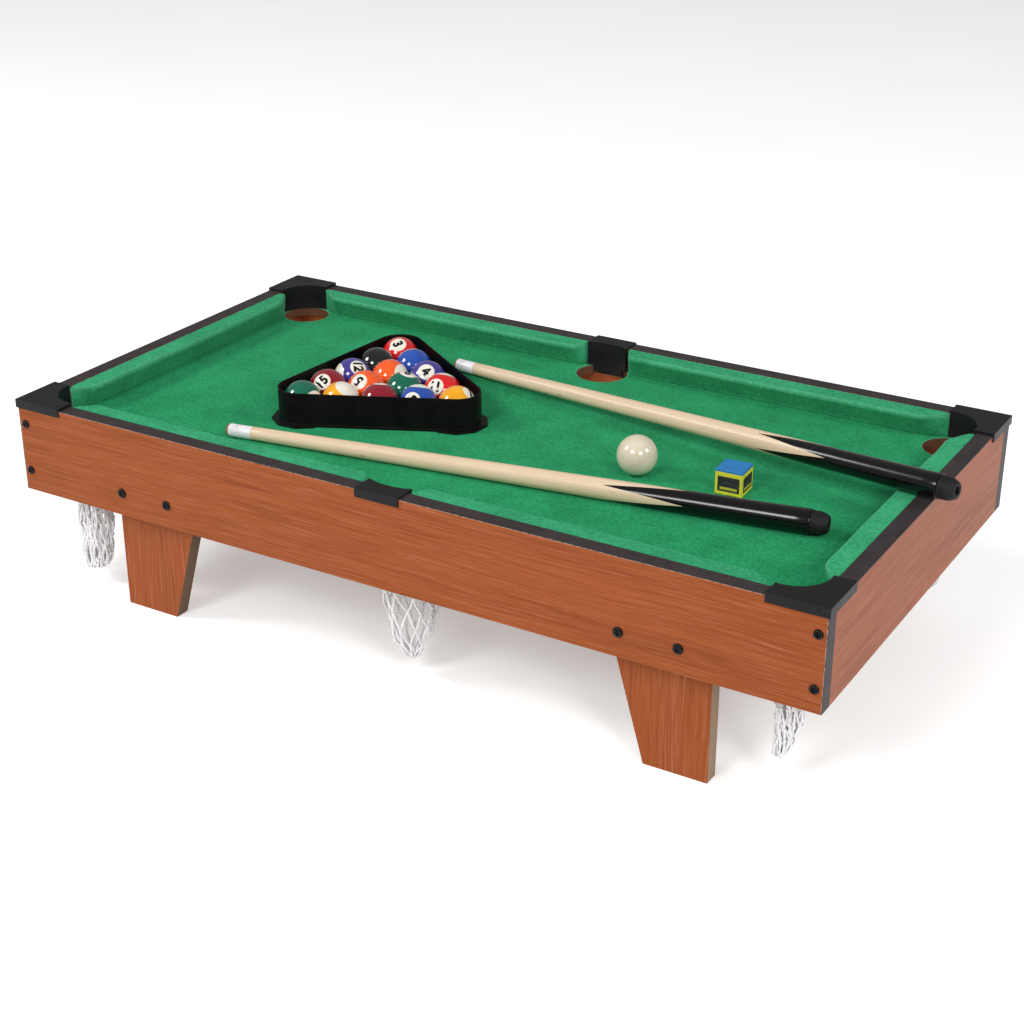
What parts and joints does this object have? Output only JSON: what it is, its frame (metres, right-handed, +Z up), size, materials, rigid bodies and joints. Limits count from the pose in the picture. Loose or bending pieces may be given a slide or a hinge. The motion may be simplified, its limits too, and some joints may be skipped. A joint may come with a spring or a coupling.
{
  "type": "mini pool table",
  "caption": "Tabletop pool table with felt bed and cushions, netted pockets, board legs, racked balls, cue ball, cues and chalk.",
  "frame": {"origin": "on the floor under the middle of the whole set; the table's own centre is 10 mm towards -X, because the rear cue hangs over the right-hand end", "axes": "+X along the table to its right-hand end, +Y across it to the back, +Z up"},
  "size_m": [0.8379, 0.4428, 0.2167],
  "materials": {
    "ball_01": "polished resin, numbered",
    "ball_02": "polished resin, numbered",
    "ball_03": "polished resin, numbered",
    "ball_04": "polished resin, numbered",
    "ball_05": "polished resin, numbered",
    "ball_06": "polished resin, numbered",
    "ball_07": "polished resin, numbered",
    "ball_08": "polished resin, numbered",
    "ball_09": "polished resin, numbered",
    "ball_10": "polished resin, numbered",
    "ball_11": "polished resin, numbered",
    "ball_12": "polished resin, numbered",
    "ball_13": "polished resin, numbered",
    "ball_14": "polished resin, numbered",
    "ball_15": "polished resin, numbered",
    "rack_plastic": "black moulded plastic",
    "edge_band": "dark satin edge banding",
    "bed_cloth": "green felt",
    "panel_board": "raw fibreboard",
    "laminate": "cherry laminate over fibreboard, satin",
    "pocket_cap": "black moulded plastic, satin",
    "chalk": "blue chalk in a paper wrapper",
    "black_screw": "black oxide steel",
    "cue_ball": "polished resin",
    "cushion_cloth": "green felt over foam",
    "cue_rubber": "black rubber",
    "ferrule_plastic": "white plastic",
    "cue_maple": "varnished maple with a black butt",
    "tip_leather": "pressed leather",
    "leg_laminate": "cherry laminate with raw fibreboard edges",
    "net_string": "white knotted string"
  },
  "bodies": {
    "table": {"band_back": "edge_band", "band_front": "edge_band", "band_left": "edge_band", "band_right": "edge_band", "bed_cloth": "bed_cloth", "bed_panel": "panel_board", "board_back": "laminate", "board_front": "laminate", "board_left": "laminate", "board_right": "laminate", "cap_back_left": "pocket_cap", "cap_back_middle": "pocket_cap", "cap_back_right": "pocket_cap", "cap_front_left": "pocket_cap", "cap_front_middle": "pocket_cap", "cap_front_right": "pocket_cap", "corner_screws": "black_screw", "cushion_back_left": "cushion_cloth", "cushion_back_right": "cushion_cloth", "cushion_end_left": "cushion_cloth", "cushion_end_right": "cushion_cloth", "cushion_front_left": "cushion_cloth", "cushion_front_right": "cushion_cloth", "leg_back_left": "leg_laminate", "leg_back_right": "leg_laminate", "leg_front_left": "leg_laminate", "leg_front_right": "leg_laminate", "leg_screws": "black_screw", "net_back_left": "net_string", "net_back_middle": "net_string", "net_back_right": "net_string", "net_front_left": "net_string", "net_front_middle": "net_string", "net_front_right": "net_string"},
    "ball_rack": {"ball_rack": "rack_plastic"},
    "chalk_cube": {"chalk_cube": "chalk"},
    "cue_ball": {"cue_ball": "cue_ball"},
    "ball_01": {"ball_01": "ball_01"},
    "ball_02": {"ball_02": "ball_02"},
    "ball_03": {"ball_03": "ball_03"},
    "ball_04": {"ball_04": "ball_04"},
    "ball_05": {"ball_05": "ball_05"},
    "ball_06": {"ball_06": "ball_06"},
    "ball_07": {"ball_07": "ball_07"},
    "ball_08": {"ball_08": "ball_08"},
    "ball_09": {"ball_09": "ball_09"},
    "ball_10": {"ball_10": "ball_10"},
    "ball_11": {"ball_11": "ball_11"},
    "ball_12": {"ball_12": "ball_12"},
    "ball_13": {"ball_13": "ball_13"},
    "ball_14": {"ball_14": "ball_14"},
    "ball_15": {"ball_15": "ball_15"},
    "front_cue": {"front_cue_tip": "tip_leather", "front_cue_ferrule": "ferrule_plastic", "front_cue_shaft": "cue_maple", "front_cue_bumper": "cue_rubber"},
    "rear_cue": {"rear_cue_tip": "tip_leather", "rear_cue_ferrule": "ferrule_plastic", "rear_cue_shaft": "cue_maple", "rear_cue_bumper": "cue_rubber"}
  },
  "joints": [
    {"name": "lift_ball_rack", "type": "slide", "parent": "table", "child": "ball_rack", "axis": [0, 0, 1], "range_m": [0, 0.12]},
    {"name": "lift_chalk_cube", "type": "slide", "parent": "table", "child": "chalk_cube", "axis": [0, 0, 1], "range_m": [0, 0.12]},
    {"name": "lift_cue_ball", "type": "slide", "parent": "table", "child": "cue_ball", "axis": [0, 0, 1], "range_m": [0, 0.12]},
    {"name": "lift_ball_01", "type": "slide", "parent": "table", "child": "ball_01", "axis": [0, 0, 1], "range_m": [0, 0.12]},
    {"name": "lift_ball_02", "type": "slide", "parent": "table", "child": "ball_02", "axis": [0, 0, 1], "range_m": [0, 0.12]},
    {"name": "lift_ball_03", "type": "slide", "parent": "table", "child": "ball_03", "axis": [0, 0, 1], "range_m": [0, 0.12]},
    {"name": "lift_ball_04", "type": "slide", "parent": "table", "child": "ball_04", "axis": [0, 0, 1], "range_m": [0, 0.12]},
    {"name": "lift_ball_05", "type": "slide", "parent": "table", "child": "ball_05", "axis": [0, 0, 1], "range_m": [0, 0.12]},
    {"name": "lift_ball_06", "type": "slide", "parent": "table", "child": "ball_06", "axis": [0, 0, 1], "range_m": [0, 0.12]},
    {"name": "lift_ball_07", "type": "slide", "parent": "table", "child": "ball_07", "axis": [0, 0, 1], "range_m": [0, 0.12]},
    {"name": "lift_ball_08", "type": "slide", "parent": "table", "child": "ball_08", "axis": [0, 0, 1], "range_m": [0, 0.12]},
    {"name": "lift_ball_09", "type": "slide", "parent": "table", "child": "ball_09", "axis": [0, 0, 1], "range_m": [0, 0.12]},
    {"name": "lift_ball_10", "type": "slide", "parent": "table", "child": "ball_10", "axis": [0, 0, 1], "range_m": [0, 0.12]},
    {"name": "lift_ball_11", "type": "slide", "parent": "table", "child": "ball_11", "axis": [0, 0, 1], "range_m": [0, 0.12]},
    {"name": "lift_ball_12", "type": "slide", "parent": "table", "child": "ball_12", "axis": [0, 0, 1], "range_m": [0, 0.12]},
    {"name": "lift_ball_13", "type": "slide", "parent": "table", "child": "ball_13", "axis": [0, 0, 1], "range_m": [0, 0.12]},
    {"name": "lift_ball_14", "type": "slide", "parent": "table", "child": "ball_14", "axis": [0, 0, 1], "range_m": [0, 0.12]},
    {"name": "lift_ball_15", "type": "slide", "parent": "table", "child": "ball_15", "axis": [0, 0, 1], "range_m": [0, 0.12]},
    {"name": "lift_front_cue", "type": "slide", "parent": "table", "child": "front_cue", "axis": [0, 0, 1], "range_m": [0, 0.12]},
    {"name": "lift_rear_cue", "type": "slide", "parent": "table", "child": "rear_cue", "axis": [0, 0, 1], "range_m": [0, 0.12]}
  ]
}
